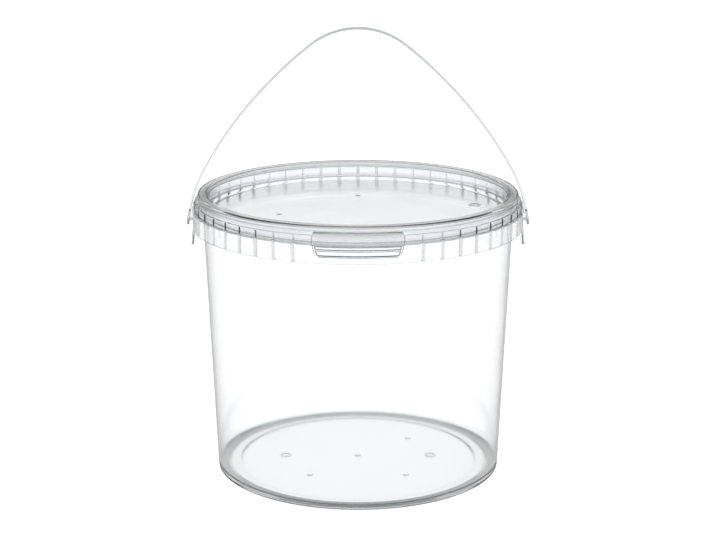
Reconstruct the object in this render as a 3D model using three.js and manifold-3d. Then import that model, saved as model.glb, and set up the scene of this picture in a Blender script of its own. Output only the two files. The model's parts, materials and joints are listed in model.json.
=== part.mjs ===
// A clear plastic food bucket with a press-on lid, a pull tab on the lid and a flexible strap handle.
// Millimetres, +Z up. The origin is on the ground, in the middle of the base.
// The front, with the pull tab, faces -Y. The handle turns about the X axis.

import * as THREE from 'three';
import { mergeVertices } from 'three/addons/utils/BufferGeometryUtils.js';
import Module from 'manifold-3d';

const wasm = await Module();
wasm.setup();

// Fineness and running gaps
const roundFacets = 100;
const smallRoundFacets = 28;
const filletSteps = 2;
const strapArcSteps = 9;
const clearance = 0.3;
const cutOverrun = 2;

// Bucket: wall, floor and rim
const rimHeight = 169.2;
const groundRadius = 86.3;
const neckRadius = 93.4;
const wallThickness = 1.25;
const footOuterFillet = 1.0;
const footRingWidth = 7.6;
const footHeight = 1.5;
const floorThickness = 1.3;
const floorFillet = 4.0;
const rimBeadReach = 1.1;
const rimBeadHeight = 2.0;
const rimFillet = 0.4;

// Bucket: flange, collar and skirt band
const flangeDrop = 7.9;
const flangeThickness = 1.1;
const collarGap = 0.8;
const collarThickness = 1.1;
const collarHeight = 4.6;
const flangeLedge = 1.4;
const bandSetback = 0.4;
const bandThickness = 1.2;
const bandHeight = 10.2;
const edgeFillet = 0.35;

// Bucket: ribs on the collar and under the flange
const ribCount = 50;
const collarRibWidth = 1.0;
const collarRibReach = 0.9;
const collarRibHeight = 4.2;
const bandRibWidth = 3.2;
const bandRibReach = 1.2;
const bandRibInset = 1.2;
const ribFreeTabAngle = THREE.MathUtils.degToRad(18);

// Bucket: ears that hold the handle
const earRadius = 12.0;
const earFlare = 1.3;
const earBeadWidth = 1.4;
const earBeadReach = 0.45;

// Lid
const lidSeatGap = 0.5;
const lidThickness = 1.3;
const recessDepth = 11.5;
const lidPlugGap = 0.55;
const recessFlare = 2.4;
const panelThickness = 1.2;
const crownFillet = 1.4;
const recessFillet = 1.5;
const lidFit = 0.4;
const skirtThickness = 1.0;
const crownBeadReach = 0.5;
const crownBeadHeight = 3.6;
const crownBeadStep = 0.4;
const skirtBottomGap = 1.3;

// Lid: front lip and pull tab
const tabHalfAngle = THREE.MathUtils.degToRad(14.8);
const tabNotchHalfAngle = THREE.MathUtils.degToRad(15.4);
const lipRootDrop = 4.0;
const lipThickness = 1.1;
const lipShoulderReach = 2.3;
const lipShoulderDrop = 0.8;
const tabStandOff = 0.35;
const tabThickness = 1.0;
const tabHeight = 6.6;
const hingeGap = 0.4;
const lipSkirtHeight = 1.3;
const tabSideTaper = 1.6;
const tabCornerRadius = 2.6;
const tabRimWidth = 1.2;
const tabRecessDepth = 0.35;

// Handle
const pivotRise = 5.0;
const padRadius = 4.8;
const padGap = 2.05;
const strapThickness = 1.3;
const strapWidth = 5.0;
const straightenDrop = 10.7;
const apexRadius = 45.3;
const footArcRadius = 79.4;
const apexArcAngle = THREE.MathUtils.degToRad(38.3);
const sideArcAngle = THREE.MathUtils.degToRad(61.0);
const pinRadius = 2.4;
const pinHeadRadius = 3.5;
const pinHeadThickness = 1.1;

// Heights that follow from the sizes above
const flangeTop = rimHeight - flangeDrop;
const flangeBottom = flangeTop - flangeThickness;
const bandBottom = flangeBottom - bandHeight;
const collarTop = flangeTop + collarHeight;
const pivotHeight = bandBottom + pivotRise;
const crownUnderside = rimHeight + lidSeatGap;
const crownTop = crownUnderside + lidThickness;
const panelTop = crownTop - recessDepth;
const panelUnderside = panelTop - panelThickness;
const skirtBottom = flangeTop + skirtBottomGap;
const tabTop = flangeBottom + hingeGap;
const tabBottom = tabTop - tabHeight;

// Radii that follow from the sizes above, from the inside out
const footInnerRadius = groundRadius - footRingWidth;
const crownInnerRadius = neckRadius - wallThickness - lidPlugGap - panelThickness;
const panelRadius = crownInnerRadius - recessFlare;
const bandRootRadius = neckRadius + clearance;
const rimBeadRadius = neckRadius + rimBeadReach;
const skirtInnerRadius = rimBeadRadius + lidFit;
const skirtOuterRadius = skirtInnerRadius + skirtThickness;
const crownRadius = skirtOuterRadius + crownBeadReach;
const collarInnerRadius = crownRadius + collarGap;
const collarOuterRadius = collarInnerRadius + collarThickness;
const flangeRadius = collarOuterRadius + flangeLedge;
const bandRadius = flangeRadius - bandSetback;
const bandInnerRadius = bandRadius - bandThickness;
const tabInnerRadius = bandRadius + tabStandOff;
const tabOuterRadius = tabInnerRadius + tabThickness;

// The bucket's outer wall radius at a height: a straight taper from the ground to the flange
function wallRadiusAt(height) {
  return groundRadius + (neckRadius - groundRadius) * height / flangeBottom;
}

// Corners are [radius, height, fillet]. Each fillet becomes a short arc that is tangent to both sides.
function roundCorners(corners) {
  const outline = [];
  corners.forEach(([x, y, fillet], index) => {
    const corner = new THREE.Vector2(x, y);
    if (!fillet) {
      outline.push(corner);
      return;
    }
    const before = corners[(index + corners.length - 1) % corners.length];
    const after = corners[(index + 1) % corners.length];
    const toBefore = new THREE.Vector2(before[0], before[1]).sub(corner).normalize();
    const toAfter = new THREE.Vector2(after[0], after[1]).sub(corner).normalize();
    const halfAngle = Math.acos(THREE.MathUtils.clamp(toBefore.dot(toAfter), -1, 1)) / 2;
    const setback = fillet / Math.tan(halfAngle);
    const start = corner.clone().addScaledVector(toBefore, setback);
    const end = corner.clone().addScaledVector(toAfter, setback);
    const toCentre = toBefore.clone().add(toAfter).normalize();
    const centre = corner.clone().addScaledVector(toCentre, fillet / Math.sin(halfAngle));
    const startAngle = start.sub(centre).angle();
    let sweep = end.sub(centre).angle() - startAngle;
    sweep -= 2 * Math.PI * Math.round(sweep / (2 * Math.PI));
    for (let step = 0; step <= filletSteps; step += 1) {
      const angle = startAngle + sweep * step / filletSteps;
      const spoke = new THREE.Vector2(Math.cos(angle), Math.sin(angle));
      outline.push(centre.clone().addScaledVector(spoke, fillet));
    }
  });
  return outline;
}

// A closed geometry as a solid that can be joined and cut
function solidFrom(geometry) {
  const bare = geometry.clone();
  bare.deleteAttribute('normal');
  bare.deleteAttribute('uv');
  const merged = mergeVertices(bare, clearance / 1000);
  const vertProperties = new Float32Array(merged.attributes.position.array);
  const triVerts = new Uint32Array(merged.index.array);
  const solid = new wasm.Manifold(new wasm.Mesh({ numProp: 3, vertProperties, triVerts }));
  return solid;
}

function geometryFrom(solid) {
  const { vertProperties, triVerts } = solid.getMesh();
  const geometry = new THREE.BufferGeometry();
  geometry.setAttribute('position', new THREE.BufferAttribute(new Float32Array(vertProperties), 3));
  geometry.setIndex(new THREE.BufferAttribute(new Uint32Array(triVerts), 1));
  geometry.computeVertexNormals();
  return geometry;
}

// A ring or a disc turned about the Z axis from an outline of [radius, height, fillet] corners
function turned(corners, closed) {
  const outline = roundCorners(corners);
  if (closed) outline.push(outline[0].clone());
  const geometry = new THREE.LatheGeometry(outline, roundFacets);
  geometry.rotateX(Math.PI / 2);
  return solidFrom(geometry);
}

// A round bar along X, centred at a place
function barAlongX(radius, fromX, toX, height) {
  const bar = new THREE.CylinderGeometry(radius, radius, Math.abs(toX - fromX), smallRoundFacets);
  bar.rotateZ(Math.PI / 2);
  bar.translate((fromX + toX) / 2, 0, height);
  return solidFrom(bar);
}

// An upright wedge of a disc, about the direction of -Y, from one height to another
function frontWedge(halfAngle, radius, bottom, top) {
  const wedge = new THREE.Shape();
  const reach = radius / Math.cos(halfAngle);
  wedge.moveTo(0, 0);
  wedge.lineTo(-reach * Math.sin(halfAngle), -reach * Math.cos(halfAngle));
  wedge.lineTo(reach * Math.sin(halfAngle), -reach * Math.cos(halfAngle));
  wedge.closePath();
  const geometry = new THREE.ExtrudeGeometry(wedge, { depth: top - bottom, bevelEnabled: false });
  geometry.translate(0, 0, bottom);
  return solidFrom(geometry);
}

function clearPlastic(color, opacity) {
  return new THREE.MeshStandardMaterial({
    color, opacity, roughness: 0.12, metalness: 0, transparent: true, side: THREE.DoubleSide,
  });
}

function named(name, solid, material) {
  const mesh = new THREE.Mesh(geometryFrom(solid), material);
  mesh.name = name;
  return mesh;
}

// Floor, foot ring, tapered wall, neck and rim, turned in one outline
function bucketBody() {
  const floorTop = footHeight + floorThickness;
  const innerAtFloor = wallRadiusAt(floorTop) - wallThickness;
  const innerAtRim = neckRadius - wallThickness;
  const body = turned([
    [0, footHeight],
    [footInnerRadius, footHeight],
    [footInnerRadius + footHeight, 0],
    [groundRadius, 0, footOuterFillet],
    [neckRadius, flangeBottom],
    [neckRadius, rimHeight - rimBeadHeight],
    [rimBeadRadius, rimHeight - rimBeadHeight, rimFillet],
    [rimBeadRadius, rimHeight, rimFillet],
    [innerAtRim, rimHeight, rimFillet],
    [innerAtRim, flangeTop],
    [innerAtFloor, floorTop, floorFillet],
    [0, floorTop],
  ], false);
  return named('bucket_body', body, clearPlastic(0xeef3f5, 0.4));
}

// Flange, collar above it and skirt band below it: a ring round the neck, moulded with the body
function bandRing() {
  return turned([
    [bandRootRadius, flangeBottom],
    [bandInnerRadius, flangeBottom],
    [bandInnerRadius, bandBottom],
    [bandRadius, bandBottom, edgeFillet],
    [bandRadius, flangeBottom],
    [flangeRadius, flangeBottom],
    [flangeRadius, flangeTop, edgeFillet],
    [collarOuterRadius, flangeTop],
    [collarOuterRadius, collarTop, edgeFillet],
    [collarInnerRadius, collarTop],
    [collarInnerRadius, flangeTop],
    [bandRootRadius, flangeTop],
  ], true);
}

// An upright rib that stands out from the axis at an angle, measured from the front
function radialRib(angle, width, innerRadius, outerRadius, bottom, top) {
  const rib = new THREE.BoxGeometry(width, outerRadius - innerRadius, top - bottom);
  rib.translate(0, -(innerRadius + outerRadius) / 2, (bottom + top) / 2);
  rib.rotateZ(angle);
  return solidFrom(rib);
}

// Ribs all round, on the collar's outside and on the band's inside, but none behind the tab
function addRibs(band) {
  let ribbed = band;
  const pitch = 2 * Math.PI / ribCount;
  for (let index = 0; index < ribCount; index += 1) {
    const angle = index * pitch;
    const fromFront = Math.min(angle, 2 * Math.PI - angle);
    if (fromFront > ribFreeTabAngle) {
      const collarRoot = collarOuterRadius - collarThickness / 2;
      const collarFace = collarOuterRadius + collarRibReach;
      const flangeMiddle = flangeTop - flangeThickness / 2;
      const collarRibTop = flangeTop + collarRibHeight;
      const bandRibBottom = bandBottom + bandRibInset;
      const bandMiddle = bandRadius - bandThickness / 2;
      const bandRibFace = bandInnerRadius - bandRibReach;
      ribbed = ribbed
        .add(radialRib(angle, collarRibWidth, collarRoot, collarFace, flangeMiddle, collarRibTop))
        .add(radialRib(angle, bandRibWidth, bandRibFace, bandMiddle, bandRibBottom, flangeMiddle));
    }
  }
  return ribbed;
}

// A round ear under the band at each side: a curved plate that leans out, with a thicker edge
function ear(side) {
  const earCentre = bandBottom;
  const earBottom = earCentre - earRadius;
  const joined = bandBottom + bandThickness;
  const plate = turned([
    [bandInnerRadius + earFlare, earBottom - cutOverrun],
    [bandRadius + earFlare, earBottom - cutOverrun],
    [bandRadius, joined],
    [bandInnerRadius, joined],
  ], true);
  const bead = turned([
    [bandInnerRadius + earFlare - earBeadReach, earBottom - cutOverrun],
    [bandRadius + earFlare + earBeadReach, earBottom - cutOverrun],
    [bandRadius + earBeadReach, bandBottom],
    [bandInnerRadius - earBeadReach, bandBottom],
  ], true);
  const innerX = side * wallRadiusAt(bandBottom);
  const outerX = side * (flangeRadius + earFlare + cutOverrun);
  const disc = barAlongX(earRadius, innerX, outerX, earCentre);
  const discInside = barAlongX(earRadius - earBeadWidth, innerX, outerX, earCentre);
  return plate.intersect(disc).add(bead.intersect(disc.subtract(discInside)));
}

// The ring with its ribs and ears, open at the front for the pull tab and bored for the handle's pins
function rimBand() {
  let band = addRibs(bandRing());
  const notchTop = crownTop + cutOverrun;
  const notchRing = turned([
    [crownRadius + collarGap / 2, flangeTop],
    [flangeRadius + cutOverrun, flangeTop],
    [flangeRadius + cutOverrun, notchTop],
    [crownRadius + collarGap / 2, notchTop],
  ], true);
  const flangeTrim = turned([
    [bandRadius, flangeBottom - cutOverrun],
    [flangeRadius + cutOverrun, flangeBottom - cutOverrun],
    [flangeRadius + cutOverrun, notchTop],
    [bandRadius, notchTop],
  ], true);
  const wedgeBottom = flangeBottom - cutOverrun;
  const wedgeReach = flangeRadius + 2 * cutOverrun;
  const wedge = frontWedge(tabNotchHalfAngle, wedgeReach, wedgeBottom, notchTop);
  band = band.subtract(notchRing.intersect(wedge)).subtract(flangeTrim.intersect(wedge));
  for (const side of [-1, 1]) {
    band = band.add(ear(side));
    const boreInner = side * (bandInnerRadius - bandThickness);
    const boreOuter = side * (flangeRadius + cutOverrun);
    band = band.subtract(barAlongX(pinRadius + clearance, boreInner, boreOuter, pivotHeight));
  }
  return named('rim_band', band, clearPlastic(0xeef3f5, 0.4));
}

// The lip at the lid's front: it runs out over the flange and turns down to the hinge of the pull tab
function lidLip() {
  const rootTop = crownTop - lipRootDrop;
  const shoulderRadius = skirtOuterRadius + lipShoulderReach;
  const shoulderTop = rootTop - lipShoulderDrop;
  const lipBottom = tabTop + hingeGap;
  const ring = turned([
    [skirtOuterRadius - skirtThickness / 2, rootTop - lipThickness],
    [shoulderRadius, shoulderTop - lipThickness],
    [tabInnerRadius, lipBottom + lipSkirtHeight - lipThickness / 2],
    [tabInnerRadius, lipBottom],
    [tabOuterRadius, lipBottom],
    [tabOuterRadius, lipBottom + lipSkirtHeight],
    [shoulderRadius, shoulderTop],
    [skirtOuterRadius - skirtThickness / 2, rootTop],
  ], true);
  const wedge = frontWedge(tabHalfAngle, tabOuterRadius + cutOverrun, flangeTop - cutOverrun, crownTop);
  return ring.intersect(wedge);
}

// The whole lid but its tab: sunk panel, recess wall, crown, skirt and front lip
function lid() {
  const plugRadius = panelRadius + panelThickness;
  const beadBottom = crownTop - crownBeadHeight;
  const turnedLid = turned([
    [0, panelUnderside],
    [plugRadius, panelUnderside, panelThickness / 2],
    [crownInnerRadius + panelThickness, crownUnderside],
    [skirtInnerRadius, crownUnderside],
    [skirtInnerRadius, skirtBottom],
    [skirtOuterRadius, skirtBottom, edgeFillet],
    [skirtOuterRadius, beadBottom - crownBeadStep],
    [crownRadius, beadBottom],
    [crownRadius, crownTop, crownFillet],
    [crownInnerRadius, crownTop, recessFillet],
    [panelRadius, panelTop],
    [0, panelTop],
  ], false);
  return named('lid', turnedLid.add(lidLip()), clearPlastic(0xf2f6f7, 0.4));
}

// The pull tab's outline, drawn flat as seen from the front: narrower below, with round lower corners
function tabOutline(inset) {
  const topHalf = tabOuterRadius * Math.sin(tabHalfAngle) - inset;
  const bottomHalf = topHalf - tabSideTaper;
  const top = tabTop - inset;
  const bottom = tabBottom + inset;
  const corners = roundCorners([
    [-topHalf, top],
    [-bottomHalf, bottom, tabCornerRadius - inset],
    [bottomHalf, bottom, tabCornerRadius - inset],
    [topHalf, top],
  ]);
  return new THREE.Shape(corners);
}

// The outline's solid runs from the axis out through the front
function frontPrism(shape) {
  const depth = tabOuterRadius + cutOverrun;
  const geometry = new THREE.ExtrudeGeometry(shape, { depth, bevelEnabled: false });
  geometry.rotateX(Math.PI / 2);
  return solidFrom(geometry);
}

// A curved plate with a raised rim, which hangs from the lip
function pullTab() {
  const wall = turned([
    [tabInnerRadius, tabBottom - cutOverrun],
    [tabOuterRadius, tabBottom - cutOverrun],
    [tabOuterRadius, tabTop + cutOverrun],
    [tabInnerRadius, tabTop + cutOverrun],
  ], true);
  const pocket = turned([
    [tabOuterRadius - tabRecessDepth, tabBottom - cutOverrun],
    [tabOuterRadius + cutOverrun, tabBottom - cutOverrun],
    [tabOuterRadius + cutOverrun, tabTop + cutOverrun],
    [tabOuterRadius - tabRecessDepth, tabTop + cutOverrun],
  ], true);
  const tab = wall.intersect(frontPrism(tabOutline(0)));
  const recess = pocket.intersect(frontPrism(tabOutline(tabRimWidth)));
  return named('pull_tab', tab.subtract(recess), clearPlastic(0xf2f6f7, 0.5));
}

// The strap's middle line: one arc over the apex, a flatter arc down each side and a third to the pivot.
// The side arc's radius follows from the width that the handle has to span.
const strapEndReach = bandRadius + padGap + strapThickness / 2 + footArcEaseAt(0);
const strapEndHeight = pivotHeight - straightenDrop;
const sideArcRadius = (strapEndReach - apexRadius * Math.sin(apexArcAngle)
  - footArcRadius * (1 - Math.sin(sideArcAngle))) / (Math.sin(sideArcAngle) - Math.sin(apexArcAngle));
const strapApexHeight = strapEndHeight + apexRadius * (1 - Math.cos(apexArcAngle))
  + sideArcRadius * (Math.cos(apexArcAngle) - Math.cos(sideArcAngle))
  + footArcRadius * Math.cos(sideArcAngle);

// How far the lowest arc has drawn in from upright, at a height above the pivot
function footArcEaseAt(rise) {
  const up = rise + straightenDrop;
  return footArcRadius - Math.sqrt(footArcRadius * footArcRadius - up * up);
}

// Points along the right half of the strap, on the middle line or beside it, from the apex down to an angle
function halfStrap(offset, lastAngle) {
  const arcs = [
    { radius: apexRadius, from: 0, to: apexArcAngle },
    { radius: sideArcRadius, from: apexArcAngle, to: sideArcAngle },
    { radius: footArcRadius, from: sideArcAngle, to: lastAngle },
  ];
  const centre = new THREE.Vector2(0, strapApexHeight - apexRadius);
  const points = [];
  arcs.forEach((arc, index) => {
    if (index > 0) {
      const joint = new THREE.Vector2(Math.sin(arc.from), Math.cos(arc.from));
      centre.addScaledVector(joint, arcs[index - 1].radius - arc.radius);
    }
    for (let step = index > 0 ? 1 : 0; step <= strapArcSteps; step += 1) {
      const angle = arc.from + (arc.to - arc.from) * step / strapArcSteps;
      const spoke = new THREE.Vector2(Math.sin(angle), Math.cos(angle));
      points.push(centre.clone().addScaledVector(spoke, arc.radius + offset));
    }
  });
  return points;
}

// The whole strap as a flat bar, bent to the middle line, of a given width along Y
function strapBar(width, lastAngle) {
  const outerRight = halfStrap(strapThickness / 2, lastAngle);
  const innerRight = halfStrap(-strapThickness / 2, lastAngle);
  const mirror = (point) => new THREE.Vector2(-point.x, point.y);
  const outerLeft = outerRight.slice(1).map(mirror).reverse();
  const innerLeft = innerRight.slice(1).map(mirror).reverse();
  const outline = [...outerLeft, ...outerRight, ...[...innerLeft, ...innerRight].reverse()];
  const settings = { depth: width, bevelEnabled: false };
  const geometry = new THREE.ExtrudeGeometry(new THREE.Shape(outline), settings);
  geometry.rotateX(Math.PI / 2);
  geometry.translate(0, width / 2, 0);
  return solidFrom(geometry);
}

// The strap stops short of the round pads at its ends
function handleStrap() {
  const pivotAngle = Math.PI / 2 - Math.asin(straightenDrop / footArcRadius);
  const reach = strapEndReach + cutOverrun;
  const padRoom = barAlongX(padRadius + clearance, -reach, reach, pivotHeight);
  const strap = strapBar(strapWidth, pivotAngle).subtract(padRoom);
  return named('handle_strap', strap, clearPlastic(0xf4f7f8, 0.6));
}

// A round pad that follows the strap's curve, with a headed pin that goes in through the band
function handleEnd(name, side) {
  const inside = side * (bandRadius + clearance);
  const outside = side * (strapEndReach + strapThickness);
  const padRoom = barAlongX(padRadius, inside, outside, pivotHeight);
  const pad = strapBar(2 * padRadius, Math.PI / 2).intersect(padRoom);
  const headSag = bandInnerRadius - Math.sqrt(bandInnerRadius ** 2 - pinHeadRadius ** 2);
  const headOuter = bandInnerRadius - headSag - clearance;
  const headInner = headOuter - pinHeadThickness;
  const padMiddle = strapEndReach - footArcEaseAt(0);
  const pin = barAlongX(pinRadius, side * headInner, side * padMiddle, pivotHeight);
  const head = barAlongX(pinHeadRadius, side * headInner, side * headOuter, pivotHeight);
  return named(name, pad.add(pin).add(head), clearPlastic(0xf4f7f8, 0.6));
}

const bucketWithLid = new THREE.Group();
bucketWithLid.add(
  bucketBody(),
  rimBand(),
  lid(),
  pullTab(),
  handleStrap(),
  handleEnd('handle_end_left', -1),
  handleEnd('handle_end_right', 1),
);

export default bucketWithLid;
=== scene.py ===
# A clear plastic food bucket with its lid on and its strap handle upright, on a pale floor.
# Metres throughout. Named sizes are written in millimetres times MM.

import json
import math

import bmesh
import bpy
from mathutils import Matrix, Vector

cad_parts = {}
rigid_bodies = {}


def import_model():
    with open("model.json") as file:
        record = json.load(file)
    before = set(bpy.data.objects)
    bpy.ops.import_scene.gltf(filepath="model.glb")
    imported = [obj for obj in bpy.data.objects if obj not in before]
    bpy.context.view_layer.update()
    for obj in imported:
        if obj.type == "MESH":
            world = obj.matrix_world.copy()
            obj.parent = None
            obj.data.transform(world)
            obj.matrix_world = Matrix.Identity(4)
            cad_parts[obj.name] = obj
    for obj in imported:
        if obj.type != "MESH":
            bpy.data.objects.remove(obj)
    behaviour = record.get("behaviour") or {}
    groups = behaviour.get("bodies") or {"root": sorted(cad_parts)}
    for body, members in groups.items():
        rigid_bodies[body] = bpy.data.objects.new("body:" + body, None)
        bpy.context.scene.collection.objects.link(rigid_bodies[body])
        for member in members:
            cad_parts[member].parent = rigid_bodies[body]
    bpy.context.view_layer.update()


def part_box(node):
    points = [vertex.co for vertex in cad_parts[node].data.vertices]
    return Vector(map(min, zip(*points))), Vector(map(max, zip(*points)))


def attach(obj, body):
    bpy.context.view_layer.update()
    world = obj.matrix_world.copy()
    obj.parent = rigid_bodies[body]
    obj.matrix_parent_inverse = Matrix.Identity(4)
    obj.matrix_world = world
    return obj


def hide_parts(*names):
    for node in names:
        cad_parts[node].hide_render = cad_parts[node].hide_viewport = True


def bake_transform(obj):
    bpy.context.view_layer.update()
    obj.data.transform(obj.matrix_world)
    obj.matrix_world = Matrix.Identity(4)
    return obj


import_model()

# Units, and how fine the round forms are
MM = 0.001
TURN = 2 * math.pi
ROUND_SEGMENTS = 360
BAR_SEGMENTS = 64
MARK_SEGMENTS = 48
FLOOR_SEGMENTS = 96
FILLET_STEPS = 5
LIP_STEPS = 10
HINGE_ROWS = 4
STRAP_STEPS = 150
SHARP_ANGLE = math.radians(32)

# Overrun of cuts, reach that counts as on the axis, running gap, and the tab's setback in its CAD box
OVERRUN = 2.0 * MM
ON_AXIS = 0.002 * MM
CLEARANCE = 0.3 * MM
HAIRLINE = 0.01 * MM

# Levels and radii that come from the frame
BUCKET_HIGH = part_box("bucket_body")[1]
BAND_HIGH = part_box("rim_band")[1]
LID_LOW, LID_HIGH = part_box("lid")
TAB_LOW, TAB_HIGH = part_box("pull_tab")
STRAP_LOW, STRAP_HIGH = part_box("handle_strap")
END_LOW, END_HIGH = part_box("handle_end_right")
RIM_TOP = BUCKET_HIGH.z
CROWN_TOP = LID_HIGH.z
PANEL_UNDERSIDE = LID_LOW.z
CROWN_RADIUS = LID_HIGH.y
FLANGE_RADIUS = BAND_HIGH.y
TAB_OUTER_RADIUS = -TAB_LOW.y
PIVOT_HEIGHT = (END_LOW.z + END_HIGH.z) / 2
PAD_RADIUS = END_HIGH.y

# Bucket: wall, floor and rim
GROUND_RADIUS = 86.3 * MM
NECK_RADIUS = 93.4 * MM
WALL = 1.25 * MM
FOOT_OUTER_FILLET = 1.0 * MM
FOOT_INNER_RADIUS = 78.7 * MM
FOOT_HEIGHT = 1.5 * MM
FLOOR_STEP_RADIUS = 71.5 * MM
FLOOR_STEP_HEIGHT = 0.25 * MM
FOOT_FILLET = 0.5 * MM
FLOOR_THICKNESS = 1.3 * MM
FLOOR_FILLET = 1.6 * MM
RIM_BEAD_REACH = 1.1 * MM
RIM_BEAD_HEIGHT = 2.0 * MM
RIM_FILLET = 0.55 * MM

# Bucket: flange, collar and skirt band
FLANGE_DROP = 7.9 * MM
FLANGE_THICKNESS = 0.7 * MM
COLLAR_THICKNESS = 1.1 * MM
COLLAR_HEIGHT = 4.6 * MM
FLANGE_LEDGE = 1.4 * MM
BAND_SETBACK = 0.4 * MM
BAND_THICKNESS = 1.2 * MM
BAND_HEIGHT = 10.6 * MM
EDGE_FILLET = 0.3 * MM
ROOT_FILLET = 0.5 * MM

# Bucket: ribs and ears
RIB_COUNT = 50
COLLAR_RIB_WIDTH = 1.6 * MM
COLLAR_RIB_REACH = 0.6 * MM
COLLAR_RIB_FLANK = 0.5 * MM
COLLAR_RIB_HEIGHT = 4.2 * MM
BAND_RIB_WIDTH = 3.2 * MM
BAND_RIB_REACH = 1.2 * MM
BAND_RIB_FLANK = 1.0 * MM
BAND_RIB_INSET = 0.4 * MM
RIB_FREE_TAB_ANGLE = math.radians(18)
TAB_NOTCH_HALF_ANGLE = math.radians(15.4)
EAR_RADIUS = 12.0 * MM
EAR_FLARE = 1.3 * MM
EAR_BEAD_WIDTH = 1.4 * MM
EAR_BEAD_REACH = 0.45 * MM

# Lid: panel, recess, crown and skirt
LID_THICKNESS = 1.3 * MM
PANEL_RADIUS = 88.0 * MM
PANEL_THICKNESS = 1.2 * MM
RECESS_FLARE = 2.4 * MM
RECESS_FILLET = 1.5 * MM
CROWN_INNER_FILLET = 0.8 * MM
CROWN_FILLET = 1.1 * MM
SKIRT_THICKNESS = 1.0 * MM
CROWN_BEAD_REACH = 0.5 * MM
CROWN_BEAD_HEIGHT = 3.0 * MM
CROWN_BEAD_STEP = 0.4 * MM
SKIRT_BOTTOM_GAP = 1.3 * MM

# The lid's lip over the flange, and the film that the tab hangs on
TAB_HALF_ANGLE = math.radians(14.8)
LIP_ROOT_DROP = 3.4 * MM
LIP_THICKNESS = 1.1 * MM
LIP_BULGE_RADIUS = 3.8 * MM
LIP_GROOVE_TOP = 1.7 * MM
LIP_GROOVE_HEIGHT = 0.8 * MM
LIP_GROOVE_DEPTH = 0.2 * MM
HINGE_GAP = 0.4 * MM
HINGE_FILM = 0.3 * MM

# Pull tab: its outline, the recess in its front and the raised bar in the recess
TAB_THICKNESS = 1.0 * MM
TAB_EDGE_FILLET = 0.25 * MM
TAB_SIDE_TAPER = 1.6 * MM
TAB_CORNER_RADIUS = 2.6 * MM
TAB_SIDE_INSET = 0.4 * MM
TAB_SIDE_RIM = 1.7 * MM
TAB_TOP_RIM = 0.35 * MM
TAB_BOTTOM_RIM = 0.7 * MM
TAB_RECESS_DEPTH = 0.55 * MM
TAB_RECESS_SLOPE = 0.5 * MM
TAB_BAR_DROP = 1.6 * MM
TAB_BAR_WIDTH = 1.3 * MM
TAB_BAR_REACH = 0.4 * MM

# How much the tab narrows and its recess widens to each side, as a share of the way outwards
TAB_SIDE_FLARE_SHARE = 0.4
TAB_RECESS_FLARE_SHARE = 0.9

# Handle: the strap's section, its round pads, its three arcs from the apex down, and the pins
STRAP_WIDTH = STRAP_HIGH.y - STRAP_LOW.y
STRAP_THICKNESS = 1.3 * MM
STRAP_EDGE_FILLET = 0.45 * MM
STRAP_FILLET_SHARE = 0.985
PAD_GAP = 2.03 * MM
PAD_SHARPNESS = 8
PAD_END_SHARE = 0.985
APEX_RADIUS = 45.3 * MM
APEX_ARC_ANGLE = math.radians(38.3)
SIDE_ARC_ANGLE = math.radians(61.0)
FOOT_ARC_RADIUS = 79.4 * MM
UPRIGHT_BELOW_PIVOT = 10.7 * MM
PIN_RADIUS = 2.4 * MM
PIN_HEAD_RADIUS = 3.5 * MM
PIN_HEAD_THICKNESS = 1.1 * MM

# Rounded edges: the cosine to the nearest straight direction where the painted shade starts, and its span
EDGE_STRAIGHT_FROM = 0.97
EDGE_STRAIGHT_SPAN = 0.04

# The shares of a rib's depth between which a point counts as on the rib
RIB_FROM_SHARE = 0.1
RIB_TO_SHARE = 1.1

# How much painted shade darkens thick edges, ribs, the foot, the floor's ring and the marks, from 0 to 1,
# and the share of the tint that is left at 1
DARKEST_SHARE = 0.01
BUCKET_EDGE_SHADE = 0.05
FOOT_SHADE = 0.9
FLOOR_RING_SHADE = 0.1
BAND_RIB_SHADE = 0.5
COLLAR_RIB_SHADE = 0.25
MARK_SHADE = 0.5
TAB_EDGE_SHADE = 1.0

# Moulding marks, plain rings and dots: the place of each and its radius
MARK_HEIGHT = 0.35 * MM
MARK_SLOPE = 0.5 * MM
MARK_RING_WIDTH = 1.6 * MM
FLOOR_GATE_RADIUS = 2.2 * MM
FLOOR_MARKS_RADIUS = 45.0 * MM
FLOOR_RING_ANGLES = (math.radians(0), math.radians(180))
FLOOR_DOT_ANGLES = (math.radians(45), math.radians(230), math.radians(310))
FLOOR_RING_RADIUS = 3.8 * MM
FLOOR_DOT_RADIUS = 2.0 * MM
LID_DOTS = ((0, 40.0 * MM), (-47.0 * MM, -13.0 * MM))
LID_DOT_RADIUS = 1.8 * MM
LID_RING_PLACE = (71.0 * MM, 12.0 * MM)
LID_RING_RADIUS = 4.0 * MM

# Plastics: faint tints, what they absorb inside and how strongly, and how rough each surface is
PLASTIC_IOR = 1.49
BODY_TINT = (0.98, 0.985, 0.99)
HANDLE_TINT = (0.97, 0.975, 0.98)
ABSORBED = (0.8, 0.82, 0.83)
BODY_DENSITY = 45
HANDLE_DENSITY = 260
BUCKET_ROUGHNESS = 0.07
LID_ROUGHNESS = 0.08
HANDLE_ROUGHNESS = 0.1

# Plastics: how uneven the roughness is, and the shallow waves of a moulded surface
HAZE_SCALE = 45
HAZE_DETAIL = 3
HAZE_LOW_SHARE = 0.6
HAZE_HIGH_SHARE = 1.4
WAVE_SCALE = 30
WAVE_DETAIL = 1
WAVE_STRENGTH = 0.1
WAVE_HEIGHT = 0.2 * MM

# Camera, matched to the photograph's rings, with its focal length in pixels and sensor in millimetres
PHOTO_WIDTH = 716
CAMERA_FOCAL_PX = 1906.6
CAMERA_DISTANCE = 1122.1 * MM
CAMERA_HEIGHT = 410.4 * MM
CAMERA_PITCH = math.radians(14.43)
SENSOR_WIDTH = 36.0

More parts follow.
